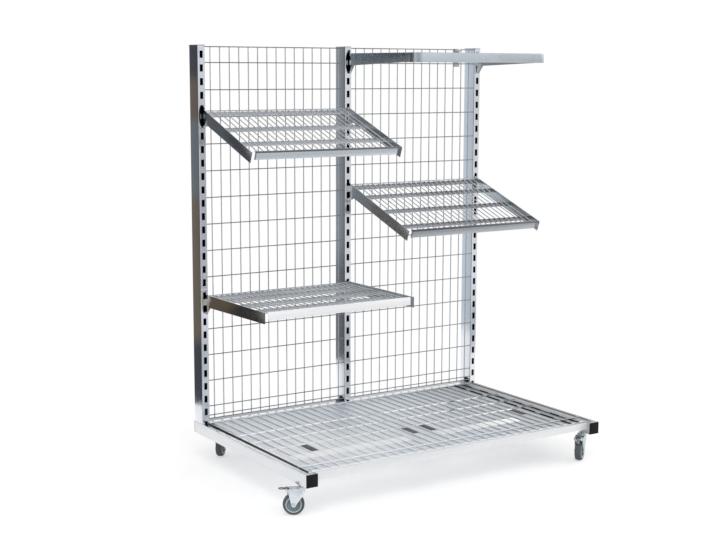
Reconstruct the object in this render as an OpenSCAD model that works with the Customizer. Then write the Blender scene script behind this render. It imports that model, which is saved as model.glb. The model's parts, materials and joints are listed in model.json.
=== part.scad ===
/* [Posts] */
// Distance from one post to the next, centre to centre
bay_pitch = 640; // [500:10:760]
// Width of a post, seen from the front
post_w = 30; // [24:1:40]
// Depth of a post, front to back
post_d = 70; // [56:1:90]
// Wall of the post tube
post_wall = 2; // [1.5:0.5:3]
// Length of the post tube, from the base frame up
post_h = 1429.5; // [1250:0.5:1600]
// Outside corner radius of the post tube
post_r = 2.5; // [2.5:0.5:5]
// Thickness of the plate on a post's top
cap_t = 3; // [2:0.5:5]
// How far that plate stands out past the post
cap_lip = 0.8; // [0.2:0.2:2]

/* [Post slots] */
// Width of a slot
slot_w = 10; // [9:0.5:12]
// Height of a slot
slot_h = 24; // [22:1:30]
// Distance from one slot to the next, centre to centre
slot_pitch = 50; // [40:1:60]
// Height of the lowest slot's centre above the base frame
slot_start = 97.5; // [60:0.5:120]

/* [Base frame] */
// Width of a side rail
rail_w = 45; // [35:1:60]
// Height of a side rail
rail_h = 45; // [35:1:60]
// Wall of the rails and cross tubes
rail_wall = 2; // [1.5:0.5:3]
// Length of the side rail in front of the posts
rail_front = 775; // [600:5:900]
// Thickness of the black plate on each rail end
end_cap_t = 3; // [2:0.5:6]
// Height of the front cross tube and the middle rail
front_h = 28; // [20:1:35]
// Depth of the front cross tube
front_d = 30; // [20:1:40]
// How far the front cross tube stands back from the rails' front ends
front_setback = 15; // [5:1:40]

/* [Back panels] */
// Thickness of the back panel's wire
mesh_wire = 4; // [3:0.5:6]
// Distance between upright wires, centre to centre
mesh_pitch = 40; // [30:1:50]
// Distance between level wires, centre to centre
mesh_row_pitch = 100; // [80:1:120]
// Height of the lowest level wire above the base frame
mesh_low = 18.5; // [12:0.5:30]
// Distance from that wire up to the next one
mesh_low_gap = 13; // [8:0.5:30]
// Height of the third level wire above the base frame
mesh_first_row = 67.5; // [55:0.5:80]
// Distance from the post's top down to the top wire
mesh_top_drop = 4; // [3:0.5:20]
// Distance from the post's front face back to the panel's centre
mesh_setback = 5; // [4:0.5:30]
// Width of the clip on the right panel's top wire
clip_w = 29; // [20:1:34]
// Height of that clip
clip_h = 74; // [40:1:85]
// Thickness of the clip's sheet
clip_t = 1.5; // [1:0.5:3]

/* [Deck] */
// Thickness of the deck's wire
deck_wire = 5; // [4:0.5:8]
// Distance between deck wires, centre to centre
deck_pitch = 40; // [30:1:50]
// Thickness of the sheets welded under the deck's wires
deck_sheet_t = 1.5; // [1:0.5:2.5]
// Distance from one gap between those sheets to the next
deck_gap_pitch = 112.5; // [100:0.5:115]
// Width of those gaps
deck_gap_w = 16; // [8:1:20]
// Distance from the posts to the middle of the first gap
deck_gap_start = 215; // [180:1:218]
// Distance from the deck's front edge back to the wire that runs across it
deck_tie_back = 70; // [60:1:90]
// Distance from the posts to the long opening in each front sheet
opening_start = 545; // [542:1:555]
// Width of that opening
opening_w = 60; // [40:1:60]
// Start of the left opening, measured from the rack's middle
left_opening_from = 100; // [60:5:200]
// End of the left opening, measured from the rack's middle
left_opening_to = 590; // [400:5:600]
// Start of the right opening, measured from the rack's middle
right_opening_from = 40; // [30:5:200]
// End of the right opening, measured from the rack's middle
right_opening_to = 415; // [400:5:600]
// Distance from the posts to the dark pads on the front sheets
pad_start = 456; // [455:1:460]
// Length of a dark pad
pad_len = 78; // [40:1:80]
// Thickness of a dark pad
pad_t = 2; // [1:0.5:3]
// Distance from the posts to the rear edge of the cross channel
channel_start = 630; // [618:1:650]
// Width of the cross channel
channel_w = 44; // [30:1:48]
// Height of the cross channel
channel_h = 20; // [12:1:22]
// Sheet of the cross channel
channel_t = 2; // [1.5:0.5:3]

/* [Shelves] */
// Thickness of an arm plate
arm_t = 3; // [2:0.5:4]
// Distance from a post's centre to an arm plate's centre
arm_offset = 3; // [2.5:0.25:3.25]
// Thickness of a shelf wire
shelf_wire = 4; // [3:0.5:5]
// Distance between shelf wires, centre to centre
shelf_pitch = 25; // [20:1:30]
// Height of the flat cross bars under the wires
bar_h = 17; // [12:1:22]
// Thickness of those cross bars
bar_t = 3; // [2:0.5:5]
// Depth of the front strip's face
lip_h = 29; // [20:1:36]
// Thickness of the front strip
lip_t = 2; // [1.5:0.5:3]
// Depth of the strip's flange over the wire ends
lip_flange = 10; // [6:1:16]
// Gap between the front strip's ends and the arm plates
lip_end_gap = 12.5; // [5:0.5:20]
// Length of the upper left shelf along its slope
upper_len = 407; // [300:1:500]
// Slope of the upper left shelf
upper_tilt = 20.5; // [0:0.5:30]
// Slots between the top one and the one that holds the upper left shelf
upper_down = 4; // [2:1:6]
// Length of the right shelf along its slope
right_len = 450; // [300:1:500]
// Slope of the right shelf
right_tilt = 20; // [0:0.5:30]
// Slots between the top one and the one that holds the right shelf
right_down = 10; // [6:1:11]
// Length of the lower left shelf
lower_len = 465; // [300:1:500]
// Slope of the lower left shelf
lower_tilt = 0; // [0:0.5:20]
// Slot that holds the lower left shelf, counted from the lowest
lower_slot = 9; // [8:1:12]
// Distance from the posts to a shelf's first cross bar
bar_start = 24; // [20:1:40]
// Distance from the upper left shelf's tip back to its last cross bar
upper_bar_tip = 104; // [60:1:110]
// Distance between that shelf's other cross bars
upper_bar_pitch = 130; // [80:1:135]
// Distance from the right shelf's tip back to its last cross bar
right_bar_tip = 64; // [50:1:90]
// Distance between that shelf's other cross bars
right_bar_pitch = 134; // [100:1:140]
// Distance from the lower left shelf's tip back to its last cross bar
lower_bar_tip = 99; // [60:1:110]
// Distance between that shelf's other cross bars
lower_bar_pitch = 127; // [100:1:135]
// Depth of an arm plate at its tip
tip_h = 40; // [34:1:48]
// Depth of an arm plate close to the post
root_h = 47; // [42:1:52]

/* [Hang bar] */
// Distance from the posts to the front face of the hang bar
hang_reach = 441; // [300:1:500]
// Height of the hang bar
hang_h = 36; // [24:1:38]
// Depth of the hang bar tube
hang_d = 13; // [10:1:20]
// Wall of the hang bar tube
hang_wall = 1.5; // [1:0.5:2.5]
// Outside radius of the bar's two bent corners
hang_r = 20; // [16:1:30]
// Length of the bar's straight ends beside the arms
hang_leg = 14; // [8:1:40]

/* [Casters] */
// Diameter of a wheel
wheel_d = 75; // [60:1:90]
// Width of a tyre
tyre_w = 25; // [18:1:30]
// Radius of a tyre's edges
tyre_r = 4; // [2:0.5:6]
// Diameter of the rim inside the tyre
rim_d = 56; // [40:1:58]
// Distance from the swivel axis to the axle
trail = 28; // [20:1:34]
// Diameter of an axle
axle_d = 8; // [6:1:10]
// Diameter of a swivel stem
stem_d = 12; // [10:1:14]
// Sheet of a fork
fork_t = 2.5; // [2:0.5:4]
// Gap between a wheel and the crown of its fork
crown_gap = 17; // [14:0.5:24]
// Gap between a fork and the base frame
stem_gap = 18; // [15:0.5:30]
// Distance from the front ends of the rails to the front swivel axes
front_caster_inset = 67; // [50:1:90]
// Distance from the rails' outer sides to the rear swivel axes
rear_caster_inset = 92; // [90:1:140]
// Distance from the posts' front face back to the rear swivel axes
rear_caster_back = 50; // [34:1:50]
// Direction in which the front left wheel trails, from the +X side
front_left_turn = 149.7; // [0:0.1:360]
// Direction in which the front right wheel trails
front_right_turn = 214.5; // [0:0.1:360]
// Direction in which both rear wheels trail
rear_turn = 47.5; // [0:0.1:360]
// Width of a brake pedal
pedal_w = 20; // [16:1:24]
// Thickness of a brake pedal
pedal_t = 2.5; // [2:0.5:4]
// Distance from the swivel axis to a pedal's pivot
pedal_pivot = 52; // [48:1:56]
// Length of a pedal from its pivot
pedal_len = 28; // [24:1:30]
// Diameter of the hole in a pedal
pedal_hole = 11; // [6:1:12]
// Angle by which the front right pedal stands up
pedal_up = 45; // [0:1:46]

/* [Clearances] */
// Radial running clearance at axles, pins and stems
run_gap = 0.06; // [0.02:0.01:0.1]
// Gap between pieces that rest on or run beside each other
seat_gap = 0.3; // [0.2:0.05:0.5]

/* [Hidden] */
eps = 0.01;
over = 1;
$fn = 48;

// Heights above the floor
fork_top = wheel_d + crown_gap + fork_t;
rail_bottom = fork_top + stem_gap;
base_top = rail_bottom + rail_h;
post_top = base_top + post_h;
front_bottom = base_top - front_h;

// Slots are counted from the lowest, and the hang bar sits in the top one
slot_count = floor((post_h - slot_start - slot_h / 2) / slot_pitch) + 1;
hang_slot = slot_count;
upper_slot = slot_count - upper_down;
right_slot = slot_count - right_down;
function slot_z(n) = base_top + slot_start + slot_pitch * (n - 1);

// Places across the rack, with the middle post at 0
outer_x = bay_pitch + post_w / 2;
rail_in_x = outer_x - rail_w;
swivel_x = outer_x - rail_w / 2;
rear_swivel_x = outer_x - rear_caster_inset;
front_swivel_y = -rail_front + front_caster_inset;
front_tube_y = -rail_front + front_setback;

// The origin is below the middle of the whole rack's box
pedal_tip_x = -swivel_x + cos(front_left_turn) * (pedal_pivot + pedal_len - pedal_w / 2) - pedal_w / 2;
box_left = min(-outer_x - cap_lip, pedal_tip_x);
tyre_reach_y = (wheel_d / 2 - tyre_r) * sin(rear_turn) + (tyre_w / 2 - tyre_r) * cos(rear_turn) + tyre_r;
box_back = rear_caster_back + trail * sin(rear_turn) + tyre_reach_y;
box_front = -rail_front - end_cap_t;
origin_x = (box_left + outer_x + cap_lip) / 2;
origin_y = (box_front + box_back) / 2;

module at_origin() {
    translate([-origin_x, -origin_y, 0]) children();
}

// Rectangle with round corners, from its lower left corner
module round_rect(w, d, r) {
    translate([r, 0]) square([w - 2 * r, d]);
    translate([0, r]) square([w, d - 2 * r]);
    for (x = [r, w - r], y = [r, d - r]) translate([x, y]) circle(r);
}

// Straight tube along +Y of a given outside width and height
module tube_y(w, h, len, wall) {
    translate([0, len, 0]) rotate([90, 0, 0]) linear_extrude(len) difference() {
        square([w, h]);
        translate([wall, wall]) square([w - 2 * wall, h - 2 * wall]);
    }
}

// Straight tube along +X of a given outside depth and height
module tube_x(d, h, len, wall) {
    rotate([90, 0, 90]) linear_extrude(len) difference() {
        square([d, h]);
        translate([wall, wall]) square([d - 2 * wall, h - 2 * wall]);
    }
}

// A post stands on the base frame and is slotted in its front wall
module post(x) {
    translate([x - post_w / 2, 0, base_top]) difference() {
        linear_extrude(post_h) difference() {
            round_rect(post_w, post_d, post_r);
            translate([post_wall, post_wall])
                square([post_w - 2 * post_wall, post_d - 2 * post_wall]);
        }
        for (n = [1 : slot_count])
            translate([(post_w - slot_w) / 2, -over, slot_z(n) - base_top - slot_h / 2])
                cube([slot_w, post_wall + 1.5 * over, slot_h]);
    }
}

module left_post() { color("silver") post(-bay_pitch); }
module middle_post() { color("silver") post(0); }
module right_post() { color("silver") post(bay_pitch); }

module post_caps() {
    color("gray") for (x = [-bay_pitch, 0, bay_pitch])
        translate([x - post_w / 2 - cap_lip, -cap_lip, post_top])
            linear_extrude(cap_t)
                round_rect(post_w + 2 * cap_lip, post_d + 2 * cap_lip, post_r);
}

// Black plugs low in the left side of the middle and right posts
plug_d = 30;
plug_h = 21;
plug_t = 1.5;
plug_lift = 2.5;
plug_front = 9.5;
module post_foot_plugs() {
    color("black") for (x = [0, bay_pitch])
        translate([x - post_w / 2 - plug_t, plug_front, base_top + plug_lift])
            cube([plug_t, plug_d, plug_h]);
}

// Level wires of a back panel, from the bottom one to the top one
mesh_top = post_h - mesh_top_drop;
mesh_rows = concat([mesh_low, mesh_low + mesh_low_gap],
                   [for (z = [mesh_first_row : mesh_row_pitch : mesh_top - mesh_row_pitch / 3]) z],
                   [mesh_top]);
mesh_width = bay_pitch - post_w;
mesh_columns = floor((mesh_width / 2 - mesh_wire) / mesh_pitch);

// A back panel is one welded grid that ends against the sides of two posts
module back_panel(x) {
    translate([x, mesh_setback + mesh_wire / 2, base_top]) rotate([90, 0, 0])
        linear_extrude(mesh_wire) {
            for (z = mesh_rows)
                translate([-mesh_width / 2, z - mesh_wire / 2]) square([mesh_width, mesh_wire]);
            for (k = [-mesh_columns : mesh_columns])
                translate([k * mesh_pitch - mesh_wire / 2, mesh_low])
                    square([mesh_wire, mesh_top - mesh_low]);
        }
}

module left_back_panel() { color("gainsboro") back_panel(-bay_pitch / 2); }
module right_back_panel() { color("gainsboro") back_panel(bay_pitch / 2); }

// Sheet clip folded over the right panel's top wire, behind the panel
clip_lip = 9;
clip_x = bay_pitch / 2 + (mesh_columns - 2) * mesh_pitch + mesh_wire / 2 + seat_gap;
clip_gap = 0.3;
module panel_clip() {
    wire_top = base_top + mesh_top + mesh_wire / 2;
    wire_front = mesh_setback - mesh_wire / 2;
    wire_back = mesh_setback + mesh_wire / 2;
    color("gray") translate([clip_x, 0, 0]) {
        translate([0, wire_front - clip_gap - clip_t, wire_top])
            cube([clip_w, mesh_wire + 2 * clip_gap + 2 * clip_t, clip_t]);
        translate([0, wire_front - clip_gap - clip_t, wire_top - clip_lip])
            cube([clip_w, clip_t, clip_lip + eps]);
        translate([0, wire_back + clip_gap, wire_top + clip_t - clip_h])
            cube([clip_w, clip_t, clip_h]);
    }
}

// Side rails run from the posts' rear faces to the front and have a stem hole
module side_rail(x, swivel) {
    difference() {
        translate([x, -rail_front, rail_bottom]) tube_y(rail_w, rail_h, rail_front + post_d, rail_wall);
        translate([swivel, front_swivel_y, rail_bottom - over])
            cylinder(d = stem_d, h = rail_wall + 2 * over);
    }
}

module left_side_rail() { color("silver") side_rail(-outer_x, -swivel_x); }
module right_side_rail() { color("silver") side_rail(rail_in_x, swivel_x); }

module rear_cross_tube() {
    color("silver") difference() {
        translate([-rail_in_x, 0, rail_bottom]) tube_x(post_d, rail_h, 2 * rail_in_x, rail_wall);
        for (x = [-rear_swivel_x, rear_swivel_x])
            translate([x, rear_caster_back, rail_bottom - over])
                cylinder(d = stem_d, h = rail_wall + 2 * over);
    }
}

module front_cross_tube() {
    color("silver") translate([-rail_in_x, front_tube_y, front_bottom])
        tube_x(front_d, front_h, 2 * rail_in_x, rail_wall);
}

module middle_rail() {
    color("silver") translate([-post_w / 2, front_tube_y + front_d, front_bottom])
        tube_y(post_w, front_h, -front_tube_y - front_d, rail_wall);
}

module rail_end_caps() {
    color("black") for (x = [-outer_x, rail_in_x], y = [-rail_front - end_cap_t, post_d])
        translate([x, y, rail_bottom]) cube([rail_w, end_cap_t, rail_h]);
}

// Space between a side rail and the middle rail
bay_in = post_w / 2;
bay_out = rail_in_x;

// A channel under the deck's sheets, open below, joins each side rail to the middle rail
module deck_channels() {
    top = base_top - deck_sheet_t;
    color("silver") for (side = [-1, 1])
        translate([side < 0 ? -bay_out : bay_in, -channel_start - channel_w, 0])
            rotate([90, 0, 90]) linear_extrude(bay_out - bay_in) difference() {
                translate([0, top - channel_h]) square([channel_w, channel_h]);
                translate([channel_t, top - channel_h - over])
                    square([channel_w - 2 * channel_t, channel_h - channel_t + over]);
            }
}

// A deck is a welded grid that lies on the rails, with sheets welded below its wires.
// Both decks end in the middle of the middle rail, half a pitch from their last long wire.
deck_rear = -1;
deck_edge = 20;
deck_split = 1;
deck_gaps = 3;
deck_span = rail_front - front_setback;
deck_run = deck_span + deck_rear;
deck_sheet_end = deck_span - front_d - 4;
module deck(side, opening) {
    outer = outer_x - deck_edge;
    low_x = side < 0 ? -outer : deck_split;
    wide = outer - deck_split;
    last = floor((outer - deck_pitch) / deck_pitch - 0.5);
    module strips() {
        for (y = [deck_rear - deck_wire, -deck_span + deck_tie_back, -deck_span])
            translate([low_x, y]) square([wide, deck_wire]);
        translate([side < 0 ? -outer : outer - deck_wire, -deck_span]) square([deck_wire, deck_run]);
        for (k = [0 : last])
            translate([side * (k + 0.5) * deck_pitch - deck_wire / 2, -deck_span])
                square([deck_wire, deck_run]);
    }
    module sheets() {
        difference() {
            translate([side < 0 ? -bay_out : bay_in, -deck_sheet_end])
                square([bay_out - bay_in, deck_sheet_end + deck_rear]);
            for (k = [0 : deck_gaps - 1])
                translate([-bay_out - over, -deck_gap_start - k * deck_gap_pitch - deck_gap_w / 2])
                    square([2 * (bay_out + over), deck_gap_w]);
            translate([side < 0 ? -opening[1] : opening[0], -opening_start - opening_w])
                square([opening[1] - opening[0], opening_w]);
        }
    }
    translate([0, 0, base_top]) linear_extrude(deck_wire) strips();
    translate([0, 0, base_top - deck_sheet_t]) linear_extrude(deck_sheet_t) sheets();
}

// Dark pads lie on the front sheets, between two wires
pad_places = [1, 12];
pad_side_gap = 2.5;
module deck_pads() {
    wide = deck_pitch - deck_wire - 2 * pad_side_gap;
    color("black") for (side = [-1, 1], k = pad_places)
        translate([side * k * deck_pitch - wide / 2, -pad_start - pad_len, base_top])
            cube([wide, pad_len, pad_t]);
}

module left_deck() { color("lightgray") deck(-1, [left_opening_from, left_opening_to]); }
module right_deck() { color("lightgray") deck(1, [right_opening_from, right_opening_to]); }

// Hooks pass through two slots and hang behind the post's front wall
hook_neck = 13;
hook_drop = 7.5;
hook_in = post_wall + seat_gap;
hook_t = 5;
hook_out = hook_in + hook_t;
function hook(z) = [
    [0, z], [hook_in, z], [hook_in, z - hook_drop],
    [hook_out, z - hook_drop], [hook_out, z + hook_neck], [0, z + hook_neck]
];
hook_edge = concat(hook(-slot_pitch - slot_h / 2), hook(-slot_h / 2));

// Side view of a plate: y runs to the back and the post's face is at 0
module plate(x, slot, outline) {
    translate([x - arm_t / 2, 0, slot_z(slot)]) rotate([90, 0, 90]) linear_extrude(arm_t) polygon(outline);
}

// Outline of a shelf arm, given its length along the slope, its slope and its rise at the post
root_drop = 70;
root_reach = 14;
function down(p, tilt) = [p[0] * cos(tilt) - p[1] * sin(tilt), p[0] * sin(tilt) + p[1] * cos(tilt)];
function arm_outline(len, tilt, rise) = concat(
    [
        [0, rise] + down([-len, -tip_h], tilt),
        [-3 * root_reach, rise - root_h - 3 * root_reach * tan(tilt)],
        [-root_reach, -root_drop],
        [0, -root_drop]
    ],
    hook_edge,
    [[0, rise], [0, rise] + down([-len, 0], tilt)]
);

module shelf_arm(post_x, side, slot, len, tilt, rise) {
    color("dimgray") plate(post_x + side * arm_offset, slot, arm_outline(len, tilt, rise));
}

// Puts a shelf's flat pieces on its slope: y = 0 at the post's face, z = 0 at the arms' top edge
module on_slope(bay_x, slot, tilt, rise) {
    translate([bay_x, 0, slot_z(slot) + rise]) rotate([tilt, 0, 0]) children();
}

wire_drop = 2;
wire_start = 14;
shelf_in = bay_pitch - 2 * arm_offset - arm_t;
strip_len = shelf_in - 2 * lip_end_gap;
wire_pairs = floor((strip_len / 2 - shelf_wire) / shelf_pitch + 0.5);
module shelf_wires(len) {
    color("gainsboro") translate([0, 0, -wire_drop - shelf_wire]) linear_extrude(shelf_wire) {
        for (k = [-wire_pairs : wire_pairs - 1])
            translate([(k + 0.5) * shelf_pitch - shelf_wire / 2, -len + lip_t])
                square([shelf_wire, len - lip_t - wire_start]);
        translate([-shelf_in / 2, -wire_start - shelf_wire]) square([shelf_in, shelf_wire]);
    }
}

module shelf_bars(places) {
    color("silver") for (s = places)
        translate([-shelf_in / 2, -s - bar_t / 2, -wire_drop - shelf_wire - bar_h])
            cube([shelf_in, bar_t, bar_h]);
}

// Front strip: a face across the wire ends and a flange over them
module shelf_strip(len) {
    color("lightgray") translate([-strip_len / 2, -len, 0]) rotate([90, 0, 90])
        linear_extrude(strip_len) {
            translate([0, lip_t - wire_drop - lip_h]) square([lip_t, lip_h]);
            translate([0, -wire_drop]) square([lip_flange, lip_t]);
        }
}

// Where each shelf's cross bars stand, along the slope from the posts' face
function bar_places(len, tip, pitch, more) = concat(
    [bar_start],
    [for (k = [more : -1 : 0]) len - tip - k * pitch]
);
upper_bars = bar_places(upper_len, upper_bar_tip, upper_bar_pitch, 1);
right_bars = bar_places(right_len, right_bar_tip, right_bar_pitch, 2);
lower_bars = bar_places(lower_len, lower_bar_tip, lower_bar_pitch, 2);
upper_rise = 2;
right_rise = 2;
lower_rise = 5;
left_bay = -bay_pitch / 2;
right_bay = bay_pitch / 2;

module upper_shelf_left_arm() { shelf_arm(-bay_pitch, 1, upper_slot, upper_len, upper_tilt, upper_rise); }
module upper_shelf_right_arm() { shelf_arm(0, -1, upper_slot, upper_len, upper_tilt, upper_rise); }
module upper_shelf_wires() {
    on_slope(left_bay, upper_slot, upper_tilt, upper_rise) shelf_wires(upper_len);
}
module upper_shelf_bars() {
    on_slope(left_bay, upper_slot, upper_tilt, upper_rise) shelf_bars(upper_bars);
}
module upper_shelf_strip() {
    on_slope(left_bay, upper_slot, upper_tilt, upper_rise) shelf_strip(upper_len);
}

module right_shelf_left_arm() { shelf_arm(0, 1, right_slot, right_len, right_tilt, right_rise); }
module right_shelf_right_arm() { shelf_arm(bay_pitch, -1, right_slot, right_len, right_tilt, right_rise); }
module right_shelf_wires() {
    on_slope(right_bay, right_slot, right_tilt, right_rise) shelf_wires(right_len);
}
module right_shelf_bars() {
    on_slope(right_bay, right_slot, right_tilt, right_rise) shelf_bars(right_bars);
}
module right_shelf_strip() {
    on_slope(right_bay, right_slot, right_tilt, right_rise) shelf_strip(right_len);
}

module lower_shelf_left_arm() { shelf_arm(-bay_pitch, 1, lower_slot, lower_len, lower_tilt, lower_rise); }
module lower_shelf_right_arm() { shelf_arm(0, -1, lower_slot, lower_len, lower_tilt, lower_rise); }
module lower_shelf_wires() {
    on_slope(left_bay, lower_slot, lower_tilt, lower_rise) shelf_wires(lower_len);
}
module lower_shelf_bars() {
    on_slope(left_bay, lower_slot, lower_tilt, lower_rise) shelf_bars(lower_bars);
}
module lower_shelf_strip() {
    on_slope(left_bay, lower_slot, lower_tilt, lower_rise) shelf_strip(lower_len);
}

// Hang bar: two tapered arm plates and a tube bent round at both ends
hang_rise = 9;
hang_root_top = 21;
hang_taper = 0.9;
hang_arm_len = hang_reach - hang_r;
hang_outline = concat(
    [
        [-hang_arm_len, hang_rise - hang_h],
        [-hang_taper * hang_arm_len, hang_rise - hang_h],
        [-3 * root_reach, hang_rise - root_h],
        [-root_reach, -root_drop],
        [0, -root_drop]
    ],
    hook_edge,
    [
        [0, hang_root_top],
        [-root_reach / 2, hang_root_top],
        [-root_reach / 2, hang_rise],
        [-hang_arm_len, hang_rise]
    ]
);
module hang_left_arm() { color("dimgray") plate(arm_offset, hang_slot, hang_outline); }
module hang_right_arm() { color("dimgray") plate(bay_pitch - arm_offset, hang_slot, hang_outline); }

// Plan of the bent bar, drawn inwards from its outside by a given depth
module hang_plan(inset, depth) {
    half = shelf_in / 2 - inset;
    front = -hang_reach + inset;
    bend = hang_r - inset;
    back = -hang_reach + hang_r + hang_leg;
    difference() {
        union() {
            translate([-half + bend, front]) square([2 * (half - bend), depth]);
            for (side = [-1, 1]) {
                translate([side * (half - bend), front + bend]) circle(bend);
                translate([side < 0 ? -half : half - depth, front + bend])
                    square([depth, back - front - bend]);
            }
        }
        translate([-half + bend, front + depth]) square([2 * (half - bend), bend * 2]);
        for (side = [-1, 1]) {
            translate([side * (half - bend), front + bend]) circle(bend - depth);
            translate([side < 0 ? -half + depth : half - bend * 2, front + bend])
                square([bend * 2 - depth, hang_leg + bend + over]);
        }
    }
}

module hang_bar() {
    z = slot_z(hang_slot) + hang_rise - hang_h;
    color("lightsteelblue") translate([right_bay, 0, z]) difference() {
        linear_extrude(hang_h) hang_plan(0, hang_d);
        translate([0, 0, hang_wall]) linear_extrude(hang_h - 2 * hang_wall)
            hang_plan(hang_wall, hang_d - 2 * hang_wall);
    }
}

// Casters, drawn with the swivel axis at 0 and the wheel trailing towards +X
nut_across = 19;
nut_h = 8;
collar_d = 22;
collar_h = 4;
race_d = 34;
race_h = 5;
head_d = 20;
head_h = 3;
wheel_side_gap = 2;
fork_in = tyre_w + 2 * wheel_side_gap;
fork_w = fork_in + 2 * fork_t;
boss_r = 8;
axle_z = wheel_d / 2;
crown_z = fork_top - fork_t;
cheek_front = 11;
cheek_skirt = 12;
cheek_lean = 2;
ear_w = 8;
ear_h = 9;
ear_r = 5.5;
pivot_drop = 6;
pivot_z = fork_top - pivot_drop;
pin_d = 5;
pedal_hub_r = 5;

module placed(x, y, turn) {
    translate([x, y, 0]) rotate([0, 0, turn]) children();
}

// Stem with its fixing nut, collar and the riveted head below the fork's crown
module stem() {
    bottom = crown_z - seat_gap - head_h;
    translate([0, 0, bottom]) cylinder(d = head_d, h = head_h);
    translate([0, 0, bottom]) cylinder(d = stem_d, h = rail_bottom + rail_wall - bottom + nut_h);
    translate([0, 0, fork_top + race_h + seat_gap]) cylinder(d = collar_d, h = collar_h - seat_gap);
    translate([0, 0, rail_bottom - nut_h])
        cylinder(d = nut_across / cos(30), h = nut_h, $fn = 6);
    translate([0, 0, rail_bottom + rail_wall]) cylinder(d = nut_across / cos(30), h = nut_h, $fn = 6);
}

module caster_stems() {
    color("silver") {
        for (side = [-1, 1]) {
            translate([side * swivel_x, front_swivel_y, 0]) stem();
            translate([side * rear_swivel_x, rear_caster_back, 0]) stem();
        }
    }
}

// Side of a fork, with its axle boss and, on a braked one, the pedal's ear
module cheek(pedal) {
    difference() {
        union() {
            polygon([
                [-cheek_front, crown_z - cheek_skirt],
                [trail - boss_r, axle_z],
                [trail + boss_r, axle_z],
                [pedal_pivot - ear_w + cheek_lean, crown_z - cheek_skirt],
                [pedal_pivot - ear_w + 2 * cheek_lean, crown_z],
                [-cheek_front, crown_z]
            ]);
            translate([trail, axle_z]) circle(boss_r);
            if (pedal) {
                translate([pedal_pivot - ear_w, crown_z - ear_h]) square([ear_w, ear_h]);
                translate([pedal_pivot, pivot_z]) circle(ear_r);
            }
        }
        translate([trail, axle_z]) circle(d = axle_d);
        if (pedal) translate([pedal_pivot, pivot_z]) circle(d = pin_d);
    }
}

module fork(pedal) {
    color("silver") difference() {
        union() {
            translate([0, 0, crown_z]) linear_extrude(fork_t) {
                circle(d = fork_w);
                translate([0, -fork_w / 2]) square([pedal_pivot - ear_w, fork_w]);
            }
            translate([0, 0, fork_top - eps]) cylinder(d = race_d, h = race_h + eps);
            for (y = [-fork_w / 2 + fork_t, fork_w / 2])
                translate([0, y, 0]) rotate([90, 0, 0]) linear_extrude(fork_t) cheek(pedal);
        }
        translate([0, 0, crown_z - over]) cylinder(d = stem_d + 2 * run_gap, h = fork_t + race_h + 2 * over);
    }
}

bolt_head = 2.5;
bolt_ratio = 1.6;
module axle() {
    color("gray") translate([trail, 0, axle_z]) rotate([90, 0, 0]) {
        cylinder(d = axle_d, h = fork_w, center = true);
        for (side = [-1, 1]) translate([0, 0, side * (fork_w + bolt_head) / 2])
            cylinder(d = axle_d * bolt_ratio, h = bolt_head, center = true);
    }
}

module axle_and_pin() {
    axle();
    color("gray") translate([pedal_pivot, 0, pivot_z]) rotate([90, 0, 0])
        cylinder(d = pin_d, h = fork_w, center = true);
}

// Rim with a dished disc on both sides and a hub as wide as the fork allows
hub_d = 20;
disc_t = 8;
rim_t = 3;
rim_inset = 1;
module rim() {
    hub_w = fork_in - 2 * seat_gap;
    color("lightslategray") translate([trail, 0, axle_z]) rotate([90, 0, 0]) rotate_extrude() {
        translate([axle_d / 2 + run_gap, -hub_w / 2]) square([(hub_d - axle_d) / 2 - run_gap, hub_w]);
        translate([hub_d / 2 - eps, -disc_t / 2]) square([(rim_d - hub_d) / 2 - rim_t + 2 * eps, disc_t]);
        translate([rim_d / 2 - rim_t, -tyre_w / 2 + rim_inset]) square([rim_t, tyre_w - 2 * rim_inset]);
    }
}

module tyre() {
    color("dimgray") translate([trail, 0, axle_z]) rotate([90, 0, 0]) rotate_extrude()
        translate([rim_d / 2, -tyre_w / 2]) {
            square([(wheel_d - rim_d) / 2 - tyre_r, tyre_w]);
            translate([0, tyre_r]) square([(wheel_d - rim_d) / 2, tyre_w - 2 * tyre_r]);
            for (y = [tyre_r, tyre_w - tyre_r])
                translate([(wheel_d - rim_d) / 2 - tyre_r, y]) circle(tyre_r);
        }
}

// Pedal that turns on its pin: a tongue with a hole and a cam that meets the tyre when it is down
cam_w = 12;
cam_t = 6;
module pedal(up) {
    cam_dir = atan2(pivot_z - axle_z, pedal_pivot - trail);
    cam_len = norm([pedal_pivot - trail, pivot_z - axle_z]) - wheel_d / 2 - seat_gap;
    color("silver") translate([pedal_pivot, 0, pivot_z]) rotate([0, -up, 0]) difference() {
        union() {
            rotate([90, 0, 0]) cylinder(r = pedal_hub_r, h = pedal_w, center = true);
            translate([0, 0, pedal_hub_r - pedal_t]) linear_extrude(pedal_t) difference() {
                union() {
                    translate([0, -pedal_w / 2]) square([pedal_len - pedal_w / 2, pedal_w]);
                    translate([pedal_len - pedal_w / 2, 0]) circle(d = pedal_w);
                }
                translate([pedal_len - pedal_w / 2, 0]) circle(d = pedal_hole);
            }
            rotate([0, 180 - cam_dir, 0]) translate([0, -cam_w / 2, -cam_t / 2])
                cube([cam_len, cam_w, cam_t]);
        }
        rotate([90, 0, 0]) cylinder(d = pin_d + 2 * run_gap, h = pedal_w + 2 * over, center = true);
    }
}

module front_left() { placed(-swivel_x, front_swivel_y, front_left_turn) children(); }
module front_right() { placed(swivel_x, front_swivel_y, front_right_turn) children(); }
module rear_left() { placed(-rear_swivel_x, rear_caster_back, rear_turn) children(); }
module rear_right() { placed(rear_swivel_x, rear_caster_back, rear_turn) children(); }

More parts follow.
